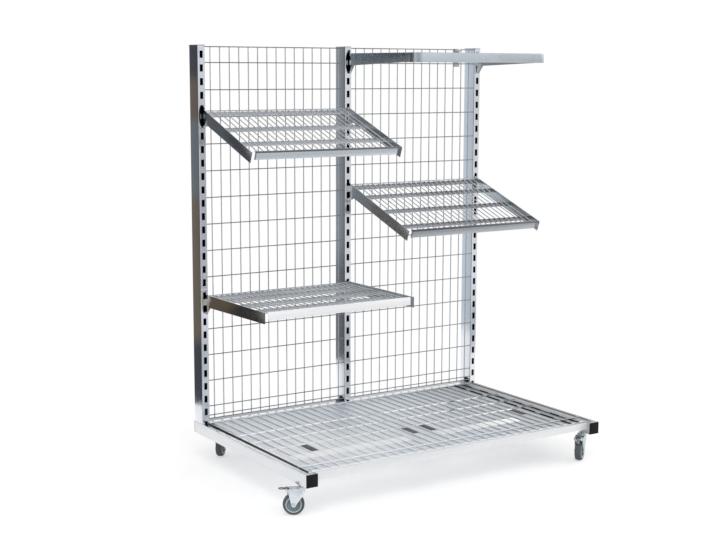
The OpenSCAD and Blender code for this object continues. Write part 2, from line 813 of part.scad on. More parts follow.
module front_left_fork() { front_left() fork(true); }
module front_left_pins() { front_left() axle_and_pin(); }
module front_left_rim() { front_left() rim(); }
module front_left_tyre() { front_left() tyre(); }
module front_left_pedal() { front_left() pedal(0); }
module front_right_fork() { front_right() fork(true); }
module front_right_pins() { front_right() axle_and_pin(); }
module front_right_rim() { front_right() rim(); }
module front_right_tyre() { front_right() tyre(); }
module front_right_pedal() { front_right() pedal(pedal_up); }
module rear_left_fork() { rear_left() fork(false); }
module rear_left_axle() { rear_left() axle(); }
module rear_left_rim() { rear_left() rim(); }
module rear_left_tyre() { rear_left() tyre(); }
module rear_right_fork() { rear_right() fork(false); }
module rear_right_axle() { rear_right() axle(); }
module rear_right_rim() { rear_right() rim(); }
module rear_right_tyre() { rear_right() tyre(); }

at_origin() left_post();
at_origin() middle_post();
at_origin() right_post();
at_origin() post_caps();
at_origin() post_foot_plugs();
at_origin() left_back_panel();
at_origin() right_back_panel();
at_origin() panel_clip();
at_origin() left_side_rail();
at_origin() right_side_rail();
at_origin() rear_cross_tube();
at_origin() front_cross_tube();
at_origin() middle_rail();
at_origin() rail_end_caps();
at_origin() deck_channels();
at_origin() left_deck();
at_origin() right_deck();
at_origin() deck_pads();
at_origin() upper_shelf_left_arm();
at_origin() upper_shelf_right_arm();
at_origin() upper_shelf_wires();
at_origin() upper_shelf_bars();
at_origin() upper_shelf_strip();
at_origin() right_shelf_left_arm();
at_origin() right_shelf_right_arm();
at_origin() right_shelf_wires();
at_origin() right_shelf_bars();
at_origin() right_shelf_strip();
at_origin() lower_shelf_left_arm();
at_origin() lower_shelf_right_arm();
at_origin() lower_shelf_wires();
at_origin() lower_shelf_bars();
at_origin() lower_shelf_strip();
at_origin() hang_left_arm();
at_origin() hang_right_arm();
at_origin() hang_bar();
at_origin() caster_stems();
at_origin() front_left_fork();
at_origin() front_left_pins();
at_origin() front_left_rim();
at_origin() front_left_tyre();
at_origin() front_left_pedal();
at_origin() front_right_fork();
at_origin() front_right_pins();
at_origin() front_right_rim();
at_origin() front_right_tyre();
at_origin() front_right_pedal();
at_origin() rear_left_fork();
at_origin() rear_left_axle();
at_origin() rear_left_rim();
at_origin() rear_left_tyre();
at_origin() rear_right_fork();
at_origin() rear_right_axle();
at_origin() rear_right_rim();
at_origin() rear_right_tyre();
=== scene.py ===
"""Looks of a rolling wire display rack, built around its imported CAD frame. Lengths are in metres."""
import json
import math

import bmesh
import bpy
from mathutils import Matrix, Vector


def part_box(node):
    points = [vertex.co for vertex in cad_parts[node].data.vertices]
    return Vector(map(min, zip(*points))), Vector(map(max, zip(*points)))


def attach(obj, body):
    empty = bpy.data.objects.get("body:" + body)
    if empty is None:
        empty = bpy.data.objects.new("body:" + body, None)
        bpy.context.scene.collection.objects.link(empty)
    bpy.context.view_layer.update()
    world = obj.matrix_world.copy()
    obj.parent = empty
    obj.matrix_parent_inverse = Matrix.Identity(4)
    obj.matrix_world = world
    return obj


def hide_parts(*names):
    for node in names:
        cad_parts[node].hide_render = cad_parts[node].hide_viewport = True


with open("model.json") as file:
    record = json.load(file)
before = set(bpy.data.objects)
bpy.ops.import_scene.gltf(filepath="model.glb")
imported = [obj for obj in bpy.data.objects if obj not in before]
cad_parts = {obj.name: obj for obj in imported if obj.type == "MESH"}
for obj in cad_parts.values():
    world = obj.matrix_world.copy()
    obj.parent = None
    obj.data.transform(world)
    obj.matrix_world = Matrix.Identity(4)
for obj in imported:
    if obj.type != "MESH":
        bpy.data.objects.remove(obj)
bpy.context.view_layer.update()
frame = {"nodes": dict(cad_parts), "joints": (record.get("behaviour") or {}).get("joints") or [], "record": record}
NODES = frame["nodes"]
BODY_OF = {n: b for b, members in frame["record"]["behaviour"]["bodies"].items() for n in members}
SLOT_OF = {s["node"]: s["material_slot"] for s in frame["record"]["subparts"]}
JOINTS = {j["name"]: j for j in frame["joints"]}
MM = 0.001

# Places that the frame gives
POSTS = ("left_post", "middle_post", "right_post")
POST_LOW, POST_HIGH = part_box("middle_post")
FRONT, BASE_TOP = POST_LOW.y, POST_LOW.z
MIDDLE = (POST_LOW.x + POST_HIGH.x) / 2
POST_W = POST_HIGH.x - POST_LOW.x
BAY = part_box("right_post")[0].x - POST_LOW.x

# Posts' slots and walls
SLOT_PITCH = 50 * MM
SLOT_START = 97.5 * MM
POST_SKIN = 2.2 * MM

# Back panels
MESH_PITCH = 40 * MM
MESH_ROW = 100 * MM
MESH_LOW_GAP = 13 * MM
MESH_FIRST_ROW = 49 * MM
WELD_SINK = 0.25

# Decks: side is -1 left and 1 right of the middle post, places along Y are distances in front of the posts
DECK_PITCH = 40 * MM
DECK_WIRE = 5 * MM
DECK_SHEET = 1.5 * MM
DECK_SHEET_START = 1 * MM
DECK_SHEET_END = 726 * MM
DECK_GAP = 16 * MM
DECK_GAP_PITCH = 112.5 * MM
DECK_GAP_START = 215 * MM
DECK_GAPS = 3
DECK_TIE_BACK = 70 * MM
DECK_SPLIT = 1 * MM
OPENING_START, OPENING_WIDE = 545 * MM, 60 * MM
OPENINGS = {-1: (100 * MM, 590 * MM), 1: (40 * MM, 415 * MM)}

# Shelves: side of the middle post, slot, slope in degrees, length along the slope and rise at the post
SHELVES = {
    "upper_shelf": (-1, 23, 20.5, 407 * MM, 2 * MM),
    "right_shelf": (1, 17, 20.0, 450 * MM, 2 * MM),
    "lower_shelf": (-1, 9, 0.0, 465 * MM, 5 * MM),
}
SHELF_WIRE = 4 * MM
SHELF_PITCH = 25 * MM
SHELF_WIRE_START = 14 * MM
STRIP_T = 2 * MM

# Wheels
WHEEL_R = 37.5 * MM
TYRE_HALF = 12.5 * MM
RIM_R = 28 * MM
HUB_R = 10 * MM
HUB_HALF = 14.2 * MM
BORE_R = 4.06 * MM
WHEEL_SEGMENTS = 64

# Camera
CAMERA_AT = Vector((-2.85002, -4.20014, 1.50276))
HEADING, PITCH, ROLL = 0.5722, 0.1478, 0.0027
LENS_MM = 67.88


def add_camera():
    forward = Vector((math.sin(HEADING) * math.cos(PITCH), math.cos(HEADING) * math.cos(PITCH), -math.sin(PITCH)))
    level = Vector((math.cos(HEADING), -math.sin(HEADING), 0))
    upward = level.cross(forward)
    right = level * math.cos(ROLL) + upward * math.sin(ROLL)
    up = upward * math.cos(ROLL) - level * math.sin(ROLL)
    turn = Matrix((right, up, -forward)).transposed()
    camera = bpy.data.objects.new("camera", bpy.data.cameras.new("camera"))
    camera.data.lens = LENS_MM
    camera.data.clip_end = 200
    camera.matrix_world = Matrix.Translation(CAMERA_AT) @ turn.to_4x4()
    bpy.context.scene.collection.objects.link(camera)
    bpy.context.scene.camera = camera


# Node trees
class Nodes:
    """Short calls for the nodes of one tree."""

    def __init__(self, tree):
        self.tree = tree

    def node(self, kind, **values):
        made = self.tree.nodes.new(kind)
        for key, value in values.items():
            setattr(made, key, value)
        return made

    def join(self, source, target):
        self.tree.links.new(source, target)

    def math(self, operation, first, second=None):
        made = self.node("ShaderNodeMath", operation=operation)
        for target, value in zip(made.inputs, (first, second)):
            if isinstance(value, bpy.types.NodeSocket):
                self.join(value, target)
            elif value is not None:
                target.default_value = value
        return made.outputs[0]

    def apart(self, value, middle):
        return self.math("ABSOLUTE", self.math("SUBTRACT", value, middle))

    def span(self, value, low, high, start=0.3, end=0.7):
        """low up to start, high from end on, and straight between them."""
        made = self.node("ShaderNodeMapRange")
        for key, number in (("From Min", start), ("From Max", end), ("To Min", low), ("To Max", high)):
            made.inputs[key].default_value = number
        self.join(value, made.inputs["Value"])
        return made.outputs["Result"]

    def shown(self):
        """1 for rays from the camera and rays that metal or glass passes on, 0 for the rays that light the object."""
        path = self.node("ShaderNodeLightPath").outputs
        reflected = self.math("MAXIMUM", path["Is Camera Ray"], path["Is Glossy Ray"])
        return self.math("MAXIMUM", reflected, path["Is Transmission Ray"])


class Shader(Nodes):
    """A material with the calls that only materials need."""

    def __init__(self, name):
        self.material = bpy.data.materials.new(name)
        self.material.use_nodes = True
        super().__init__(self.material.node_tree)
        self.bsdf = self.tree.nodes["Principled BSDF"]
        self.place = self.node("ShaderNodeTexCoord").outputs["Object"]

    def fed(self, key):
        return self.bsdf.inputs[key].links[0].from_socket

    @property
    def tone(self):
        return self.fed("Base Color")

    def paint(self, tone):
        self.join(tone, self.bsdf.inputs["Base Color"])

    def shine_through(self, surface):
        self.join(surface, self.tree.nodes["Material Output"].inputs["Surface"])

    def parts(self, vector):
        made = self.node("ShaderNodeSeparateXYZ")
        self.join(vector, made.inputs[0])
        return made.outputs

    def facing(self):
        return self.parts(self.node("ShaderNodeNewGeometry").outputs["Normal"])

    def noise(self, scale, stretch=(1, 1, 1), detail=3.0):
        mapping = self.node("ShaderNodeMapping")
        mapping.inputs["Scale"].default_value = stretch
        self.join(self.place, mapping.inputs["Vector"])
        made = self.node("ShaderNodeTexNoise")
        made.inputs["Scale"].default_value = scale
        made.inputs["Detail"].default_value = detail
        made.inputs["Roughness"].default_value = 0.55
        self.join(mapping.outputs["Vector"], made.inputs["Vector"])
        return made.outputs["Fac"]

    def soft_span(self, value, start, end):
        made = self.node("ShaderNodeMapRange", interpolation_type="SMOOTHSTEP")
        made.inputs["From Min"].default_value = start
        made.inputs["From Max"].default_value = end
        self.join(value, made.inputs["Value"])
        return made.outputs["Result"]

    def ramp(self, value, stops):
        made = self.node("ShaderNodeValToRGB")
        points = made.color_ramp.elements
        points[0].position, points[0].color = stops[0][0], (*stops[0][1], 1)
        points[1].position, points[1].color = stops[-1][0], (*stops[-1][1], 1)
        for place, color in stops[1:-1]:
            points.new(place).color = (*color, 1)
        self.join(value, made.inputs["Fac"])
        return made.outputs["Color"]

    def mix(self, share, first, second, blend="MIX"):
        made = self.node("ShaderNodeMix", data_type="RGBA", blend_type=blend)
        for target, value in ((made.inputs[0], share), (made.inputs[6], first), (made.inputs[7], second)):
            if isinstance(value, bpy.types.NodeSocket):
                self.join(value, target)
            elif isinstance(value, (int, float)):
                target.default_value = value
            else:
                target.default_value = (*value, 1)
        return made.outputs[2]

    def dimmed(self, tone, share):
        return self.mix(1.0, tone, share, "MULTIPLY")

    def bump(self, height, depth):
        made = self.node("ShaderNodeBump")
        made.inputs["Strength"].default_value = 1.0
        made.inputs["Distance"].default_value = depth
        self.join(height, made.inputs["Height"])
        self.join(made.outputs["Normal"], self.bsdf.inputs["Normal"])

    def edges(self):
        """1 on outer edges, 0 on flat faces."""
        return self.span(self.node("ShaderNodeNewGeometry").outputs["Pointiness"], 0, 1, EDGE_START, EDGE_END)


# Scales of the noises, coarse to fine, and how far the pointedness of an outer edge reaches
DRIFT, WAVES, CLOUDS, STREAKS, FINE = 3.5, 9, 38, 140, 900
PATCHES, SHEEN, GRAIN = 22, 60, 1400
EDGE_START, EDGE_END = 0.52, 0.62
STREAK_TONE, RUBBED_TONE = 0.72, 1.12
GRAIN_SHARE = 0.02
PLATE_DEPTH, PLASTIC_DEPTH = 1.2 * MM, 0.05 * MM


def plated(name, light, dark, rough=(0.10, 0.22), wave=0.35, streak=(1, 1, 1), metal=1.0):
    """Plated steel: broad colour drift, finer cloudy gloss, faint drawn streaks and brighter rubbed edges."""
    s = Shader(name)
    s.bsdf.inputs["Metallic"].default_value = metal
    tone = s.ramp(s.noise(DRIFT, detail=2.0), [(0.35, dark), (0.65, light)])
    streaks = s.noise(STREAKS, stretch=streak, detail=2.0)
    tone = s.mix(s.span(streaks, 0, 0.22), tone, tuple(STREAK_TONE * c for c in dark))
    rubbed = tuple(min(1.0, RUBBED_TONE * c) for c in light)
    s.paint(s.mix(s.math("MULTIPLY", s.edges(), 0.5), tone, rubbed))
    s.join(s.span(s.noise(CLOUDS, detail=4.0), *rough), s.bsdf.inputs["Roughness"])
    waves = s.math("MULTIPLY", s.noise(WAVES, detail=1.0), wave)
    grain = s.math("MULTIPLY", s.noise(FINE, detail=2.0), GRAIN_SHARE)
    s.bump(s.math("ADD", waves, grain), PLATE_DEPTH)
    return s


def plastic(name, light, dark, rough=(0.42, 0.6), scuff=0.12, shine=0.5):
    """Moulded plastic: fine grain, uneven gloss and pale scuffs on its edges."""
    s = Shader(name)
    s.bsdf.inputs["Specular IOR Level"].default_value = shine
    tone = s.ramp(s.noise(PATCHES, detail=4.0), [(0.35, dark), (0.65, light)])
    scuffed = tuple(min(1.0, c + scuff) for c in light)
    s.paint(s.mix(s.math("MULTIPLY", s.edges(), 0.4), tone, scuffed))
    s.join(s.span(s.noise(SHEEN, detail=3.0), *rough), s.bsdf.inputs["Roughness"])
    s.bump(s.noise(GRAIN, detail=1.0), PLASTIC_DEPTH)
    return s


# Painted light and shade laid over a finish; a pair of lengths or of the normal's parts is where the shade starts and
# ends
FACES_FRONT = (-0.8, -0.6)
FACES_UP = (0.45, 0.7)
DASH_LINE = 24 * MM
DASH_SIDES = (4 * MM, 6 * MM)
DASH_ENDS = (6 * MM, 9 * MM)
DASH_SHADE_BORDER = (15 * MM, 19 * MM)
# Painted light of the dashes and painted shade around them on the rear tube's top
PAINTED_DASH_LIGHT = (0.93, 0.94, 0.97)
PAINTED_DASH_SHADE = (0.14, 0.15, 0.18)


def painted_dashes_and_shade(s):
    """Painted light and shade on the rear tube's top: pale dashes, as the panels' uprights cut the light that falls
    on it, and dark shade on either side of them.
    """
    axes = s.parts(s.place)
    along = s.math("PINGPONG", s.math("SUBTRACT", axes[0], MIDDLE), MESH_PITCH / 2)
    away = s.apart(axes[1], FRONT + DASH_LINE)
    dash = s.math("MULTIPLY", s.span(along, 0, 1, *DASH_SIDES), s.span(away, 1, 0, *DASH_ENDS))
    s.paint(s.mix(s.span(away, 0, 0.7, *DASH_SHADE_BORDER), s.mix(dash, s.tone, PAINTED_DASH_LIGHT), PAINTED_DASH_SHADE))


ARM_FRONT, ARM_REAR = 420 * MM, 180 * MM
ROOT_START, ROOT_END = 12 * MM, 7 * MM
CUT_END_TONE = (0.06, 0.063, 0.068)
# Painted shade on an arm's root beside the post
PAINTED_ARM_ROOT_SHADE = (0.02, 0.024, 0.028)


def arm_painted_shade(s, root=False, front_tone=1.0):
    """Darkens an arm's cut end, the faces turned to the front; its root may get painted shade and its front part
    darker.
    """
    along = s.parts(s.place)[1]
    tone = s.dimmed(s.tone, s.span(along, front_tone, 1.0, FRONT - ARM_FRONT, FRONT - ARM_REAR))
    tone = s.mix(s.span(s.facing()[1], 0.85, 0, *FACES_FRONT), tone, CUT_END_TONE)
    if root:
        tone = s.mix(s.span(along, 0, 1, FRONT - ROOT_START, FRONT - ROOT_END), tone, PAINTED_ARM_ROOT_SHADE)
    s.paint(tone)


STRIP_END_START, STRIP_END_FULL = 7 * MM, 3 * MM
STRIP_TOP_EDGE = (-4.5 * MM, -3.0 * MM)
# Painted shade on a sloped strip's top flange and top edge
PAINTED_STRIP_SHADE = (0.10, 0.10, 0.11)


def painted_flange_shade(s, shelf):
    """Painted shade on a sloped strip's upward-facing top flange and its top edge; its rounded ends are darkened too.
    """
    low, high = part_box(shelf + "_strip")
    half = (high.x - low.x) / 2
    to_slope = shelf_place(shelf).inverted()[2]
    axes = s.parts(s.place)
    end = s.span(s.apart(axes[0], (low.x + high.x) / 2), 0, 0.7, half - STRIP_END_START, half - STRIP_END_FULL)
    height = s.math("ADD", s.math("MULTIPLY", axes[1], to_slope[1]), s.math("MULTIPLY", axes[2], to_slope[2]))
    edge = s.span(s.math("ADD", height, to_slope[3]), 0, 0.9, *STRIP_TOP_EDGE)
    flange = s.span(s.facing()[2], 0, 0.9, *FACES_UP)
    s.paint(s.mix(s.math("MAXIMUM", s.math("MAXIMUM", flange, edge), end), s.tone, PAINTED_STRIP_SHADE))


GAP_LIGHT_SOFT = 0.03


def painted_rod_shade(s, dark, share):
    """Painted dark shade along a rod, which turns light where it crosses the deck's gaps, over this share of their
    pitch each way.
    """
    turns = s.math("DIVIDE", s.math("SUBTRACT", s.parts(s.place)[1], FRONT - DECK_GAP_START), DECK_GAP_PITCH)
    away = s.math("PINGPONG", turns, 0.5)
    s.paint(s.mix(s.span(away, 0, 1, share - GAP_LIGHT_SOFT, share + GAP_LIGHT_SOFT), s.tone, dark))


SHADE_REACH = 0.7
# Painted glare on the deck: its middle, the distances where it fades out, and its tone
GLARE_AT = (-0.38, -0.22, 0.16)
GLARE_NEAR, GLARE_FAR = 0.05, 0.38
GLARE_TONE = (0.97, 0.98, 1.0)


def painted_shade_across(s, edges, glare=0.0):
    """Paints shade across the plate from the left to the right, at (X, share of the tone), with a painted glare patch
    in front.
    """
    across = s.span(s.parts(s.place)[0], 0, 1, -SHADE_REACH, SHADE_REACH)
    stops = [((x + SHADE_REACH) / (2 * SHADE_REACH), (share, share, share)) for x, share in edges]
    tone = s.dimmed(s.tone, s.ramp(across, stops))
    if glare:
        away = s.node("ShaderNodeVectorMath", operation="DISTANCE")
        s.join(s.place, away.inputs[0])
        away.inputs[1].default_value = GLARE_AT
        near = s.math("SUBTRACT", 1.0, s.soft_span(away.outputs["Value"], GLARE_NEAR, GLARE_FAR))
        tone = s.mix(s.math("MULTIPLY", near, glare), tone, GLARE_TONE)
    s.paint(tone)


# Painted light and shade: tone of a post's side walls at their front and rear edge, tone of its front wall's edges
WALL_LIGHT_AND_SHADE = {"left_post": (0.92, 1.08, 0.5), "middle_post": (0.66, 1.18, 0.85), "right_post": (0.85, 1.05, 0.8)}
# Posts with painted shade at the hook roots: upper slot, half width, half height, share of the pale spot in the
# middle
ROOTS = {"left_post": (23, 13 * MM, 40 * MM, 0.25), "middle_post": (27, 12.5 * MM, 38 * MM, 1.0)}
# Pale spot left out of a root's painted shade: place beside and above its middle, half width and half height
SPOT = (-4 * MM, -3 * MM, 5 * MM, 10 * MM)
RIM_HALF_WIDE, RIM_HALF_HIGH = 6.4 * MM, 13.2 * MM
FACES_OUT = 0.6
# Painted shade in the slots' rims, at the hook roots and inside the tube
SLOT_RIM_SHADE = (0.02, 0.02, 0.022)
ROOT_SHADE_TONE = (0.012, 0.014, 0.018)
TUBE_INSIDE_SHADE = (0.012, 0.012, 0.014)


def paint_wall_light_and_shade(s, node, axes, low, high):
    """Painted light and shade on the post's outer walls: side walls along their depth, slot rims and hook roots on
    the front wall.
    """
    front_edge, rear_edge, front_sides = WALL_LIGHT_AND_SHADE[node]
    facing = s.facing()
    middle, half = (low.x + high.x) / 2, (high.x - low.x) / 2
    first_slot = BASE_TOP + SLOT_START
    side = s.math("GREATER_THAN", s.math("ABSOLUTE", facing[0]), FACES_OUT)
    front = s.math("LESS_THAN", facing[1], -FACES_OUT)
    depth = s.math("MULTIPLY", s.span(axes[1], front_edge, rear_edge, low.y + 4 * MM, high.y),
                   s.span(axes[1], 0.7, 1.0, low.y + 2 * MM, low.y + 6 * MM))
    across = s.apart(axes[0], middle)
    rounded = s.span(across, 1.0, front_sides, half - 3 * MM, half)
    from_slot = s.math("PINGPONG", s.math("SUBTRACT", axes[2], first_slot), SLOT_PITCH / 2)
    rim = s.math("MULTIPLY", s.math("LESS_THAN", across, RIM_HALF_WIDE),
                 s.math("LESS_THAN", from_slot, RIM_HALF_HIGH))
    tone = s.mix(side, s.tone, s.dimmed(s.tone, depth))
    tone = s.mix(front, tone, s.dimmed(tone, rounded))
    tone = s.mix(s.math("MULTIPLY", rim, front), tone, SLOT_RIM_SHADE)
    if node in ROOTS:
        slot, half_wide, half_high, spot = ROOTS[node]
        beside = s.math("SUBTRACT", axes[0], middle)
        above = s.math("SUBTRACT", axes[2], first_slot + SLOT_PITCH * (slot - 1.5))

        def reach(x, z, wide, high):
            parts = [s.math("ABSOLUTE", s.math("DIVIDE", s.math("SUBTRACT", value, off), size))
                     for value, off, size in ((beside, x, wide), (above, z, high))]
            return s.math("ADD", s.math("POWER", parts[0], 2), s.math("POWER", parts[1], 3))

        root = s.math("SUBTRACT", s.span(reach(0, 0, half_wide, half_high), 1, 0, 0.8, 1.1),
                      s.math("MULTIPLY", s.span(reach(*SPOT), 1, 0, 0.6, 1.1), spot))
        tone = s.mix(s.math("MULTIPLY", s.math("MAXIMUM", root, 0.0), front), tone, ROOT_SHADE_TONE)
    s.paint(tone)


def post_material(node):
    """Bright plate outside, painted shade inside the tube, told apart by the distance to the tube's walls."""
    s = plated("chrome_" + node, (0.80, 0.82, 0.86), (0.70, 0.72, 0.76), rough=(0.06, 0.14), streak=ALONG_Z)
    low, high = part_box(node)
    axes = s.parts(s.place)
    paint_wall_light_and_shade(s, node, axes, low, high)
    near = [s.math("LESS_THAN", s.apart(axes[axis], (low[axis] + high[axis]) / 2),
                   (high[axis] - low[axis]) / 2 - POST_SKIN * 0.9) for axis in (0, 1)]
    inside = s.math("MULTIPLY", *near)
    gloss = s.fed("Roughness")
    s.paint(s.mix(inside, s.tone, TUBE_INSIDE_SHADE))
    s.join(s.math("MAXIMUM", gloss, s.math("MULTIPLY", inside, 0.8)), s.bsdf.inputs["Roughness"])
    return s.material


# Finishes: lighter and darker tone, then what differs from the usual plate or plastic
ALONG_X, ALONG_Y, ALONG_Z = (0.03, 1, 1), (1, 0.03, 1), (1, 1, 0.03)
SOFT_ALONG_Y = (1, 0.05, 1)
PLATED = {
    "zinc_cap": dict(light=(0.52, 0.53, 0.55), dark=(0.40, 0.41, 0.43), rough=(0.28, 0.42), wave=0.1),
    "clip_steel": dict(light=(0.50, 0.52, 0.57), dark=(0.40, 0.42, 0.46), rough=(0.25, 0.38), wave=0.1),
    "chrome_wire": dict(light=(0.62, 0.64, 0.67), dark=(0.54, 0.56, 0.59), rough=(0.30, 0.42), wave=0.0),
    "level_wire": dict(light=(0.32, 0.33, 0.34), dark=(0.25, 0.26, 0.27), rough=(0.30, 0.42), wave=0.0),
    "mesh_wire": dict(light=(0.46, 0.47, 0.48), dark=(0.38, 0.39, 0.40), rough=(0.30, 0.42), wave=0.0),
    "deck_wire": dict(light=(0.84, 0.87, 0.90), dark=(0.76, 0.79, 0.82), rough=(0.44, 0.56), wave=0.0, metal=0.3),
    "deck_sheet": dict(light=(0.78, 0.82, 0.86), dark=(0.70, 0.74, 0.78), rough=(0.42, 0.55), wave=0.1,
                       streak=SOFT_ALONG_Y),
    # The deck's outer rods are darker copies of the deck wire: painted shade along the deck's edges; two of them are
    # painted dark and turn light over the gaps
    "edge_wire": dict(light=(0.24, 0.24, 0.235), dark=(0.15, 0.15, 0.145), rough=(0.35, 0.5), wave=0.0),
    "margin_rod": dict(light=(0.42, 0.43, 0.44), dark=(0.36, 0.36, 0.37), rough=(0.4, 0.5), wave=0.0),
    "painted_shade_rod": dict(light=(0.55, 0.57, 0.58), dark=(0.55, 0.57, 0.58), rough=(0.35, 0.5), wave=0.0),
    "short_painted_shade_rod": dict(light=(0.40, 0.41, 0.41), dark=(0.40, 0.41, 0.41), rough=(0.35, 0.5), wave=0.0),
    "rail_chrome": dict(light=(0.86, 0.87, 0.90), dark=(0.78, 0.79, 0.83), rough=(0.12, 0.22), streak=ALONG_Y),
    # The two side rails are one plate in two tones: painted shade makes the right one darker
    "left_rail": dict(light=(0.75, 0.77, 0.80), dark=(0.68, 0.70, 0.73), rough=(0.12, 0.22), streak=ALONG_Y),
    "right_rail": dict(light=(0.50, 0.50, 0.51), dark=(0.42, 0.42, 0.43), rough=(0.45, 0.55), wave=0.05,
                       streak=ALONG_Y, metal=0.35),
    "rear_rail": dict(light=(0.40, 0.42, 0.46), dark=(0.34, 0.36, 0.40), rough=(0.05, 0.10), wave=0.02,
                      streak=ALONG_X),
    "front_tube": dict(light=(0.90, 0.91, 0.93), dark=(0.86, 0.87, 0.89), rough=(0.34, 0.42), wave=0.04,
                       streak=ALONG_X, metal=0.4),
    "shelf_bar": dict(light=(0.60, 0.62, 0.64), dark=(0.50, 0.52, 0.54), rough=(0.20, 0.30), wave=0.1,
                      streak=ALONG_X),
    # The right shelf's bars are a darker copy of the other bars: painted shade
    "dark_bar": dict(light=(0.44, 0.46, 0.48), dark=(0.36, 0.38, 0.40), rough=(0.20, 0.30), wave=0.1,
                     streak=ALONG_X),
    "arm_chrome": dict(light=(0.56, 0.59, 0.61), dark=(0.48, 0.51, 0.53), rough=(0.17, 0.23), wave=0.08,
                       streak=SOFT_ALONG_Y),
    # Single arms get copies of the arm plate in other tones: painted light and painted reflection colours; two of
    # them also get painted shade at the root
    "root_shade_arm": dict(light=(0.56, 0.59, 0.61), dark=(0.48, 0.51, 0.53), rough=(0.17, 0.23), wave=0.08,
                          streak=SOFT_ALONG_Y),
    "pale_arm": dict(light=(0.70, 0.73, 0.75), dark=(0.62, 0.65, 0.67), rough=(0.17, 0.23), wave=0.08,
                     streak=SOFT_ALONG_Y),
    "lower_arm": dict(light=(0.60, 0.56, 0.50), dark=(0.52, 0.48, 0.43), rough=(0.15, 0.20), wave=0.06,
                      streak=SOFT_ALONG_Y),
    "hang_arm": dict(light=(0.68, 0.76, 0.82), dark=(0.60, 0.68, 0.74), rough=(0.19, 0.25), wave=0.08,
                     streak=(0.6, 0.05, 1)),
    "bar_chrome": dict(light=(0.66, 0.72, 0.77), dark=(0.60, 0.66, 0.71), rough=(0.26, 0.34), wave=0.1,
                       streak=ALONG_X),
    # The three shelves' strips are one finish in lit and shaded tones: painted light and shade
    "strip_upper": dict(light=(0.66, 0.69, 0.72), dark=(0.62, 0.65, 0.68), rough=(0.26, 0.30), wave=0.03,
                        streak=ALONG_X),
    "strip_right": dict(light=(0.44, 0.46, 0.48), dark=(0.40, 0.42, 0.44), rough=(0.26, 0.30), wave=0.03,
                        streak=ALONG_X),
    "strip_lower": dict(light=(0.96, 0.97, 0.99), dark=(0.92, 0.93, 0.95), rough=(0.30, 0.36), wave=0.03,
                        streak=ALONG_X, metal=0.25),
    "fork_zinc": dict(light=(0.80, 0.83, 0.87), dark=(0.66, 0.69, 0.74), rough=(0.16, 0.3), wave=0.15),
    # The front right fork's finish is a darker copy of the other forks': painted shade
    "painted_shade_fork": dict(light=(0.50, 0.56, 0.58), dark=(0.36, 0.42, 0.44), rough=(0.2, 0.35), wave=0.15),
    "pin_steel": dict(light=(0.70, 0.72, 0.74), dark=(0.55, 0.57, 0.60), rough=(0.2, 0.34), wave=0.05),
    "pedal_steel": dict(light=(0.30, 0.32, 0.34), dark=(0.20, 0.215, 0.23), rough=(0.25, 0.4), wave=0.1),
}
PLASTIC = {
    "black_plastic": dict(light=(0.012, 0.012, 0.014), dark=(0.006, 0.006, 0.007), rough=(0.6, 0.8), scuff=0.03,
                          shine=0.12),
    "pad_dark": dict(light=(0.12, 0.12, 0.12), dark=(0.05, 0.052, 0.05), rough=(0.6, 0.8), scuff=0.05, shine=0.2),
    "rim_plastic": dict(light=(0.24, 0.32, 0.345), dark=(0.16, 0.22, 0.24)),
    "rim_ring": dict(light=(0.58, 0.66, 0.68), dark=(0.48, 0.56, 0.58)),
    "tyre_rubber": dict(light=(0.115, 0.125, 0.13), dark=(0.07, 0.078, 0.082), rough=(0.6, 0.82)),
}
# Painted shade across a plate: places along X and the share of the tone there
DECK_SHADE = [(-0.6, 0.95), (-0.4, 0.95), (0.0, 0.97), (0.33, 0.83), (0.52, 0.70), (0.56, 0.66), (0.58, 0.50)]
DARK_BAR_SHADE = [(0.0, 0.95), (0.2, 0.75), (0.45, 0.46), (0.6, 0.50)]
HANG_BAR_SHADE = [(0.0, 0.55), (0.055, 0.60), (0.07, 1.0), (0.22, 0.88), (0.6, 0.70)]
# Strength of the painted glare on the deck
DECK_GLARE = 0.8


def make_materials():
    made = {name: plated(name, **values) for name, values in PLATED.items()}
    made.update({name: plastic(name, **values) for name, values in PLASTIC.items()})
    # Painted shade across the decks with painted glare, and across two bars
    for name in ("deck_wire", "deck_sheet"):
        painted_shade_across(made[name], DECK_SHADE, DECK_GLARE)
    painted_shade_across(made["dark_bar"], DARK_BAR_SHADE)
    painted_shade_across(made["bar_chrome"], HANG_BAR_SHADE)
    # Painted dark shade on two outer deck rods, light where they cross the gaps
    painted_rod_shade(made["painted_shade_rod"], (0.05, 0.055, 0.05), 0.12)
    painted_rod_shade(made["short_painted_shade_rod"], (0.07, 0.07, 0.07), 0.26)
    # Painted pale dashes and dark shade on the rear tube's top
    painted_dashes_and_shade(made["rear_rail"])
    # Painted shade on the sloped strips' flanges
    painted_flange_shade(made["strip_upper"], "upper_shelf")
    painted_flange_shade(made["strip_right"], "right_shelf")
    # Arms: darker cut ends, and painted shade on two arms' roots
    for name in ("arm_chrome", "pale_arm"):
        arm_painted_shade(made[name])
    for name in ("root_shade_arm", "hang_arm"):
        arm_painted_shade(made[name], root=True)
    arm_painted_shade(made["lower_arm"], front_tone=0.42)
    return {name: shader.material for name, shader in made.items()}


# Shapes
ROD_SIDES = 12


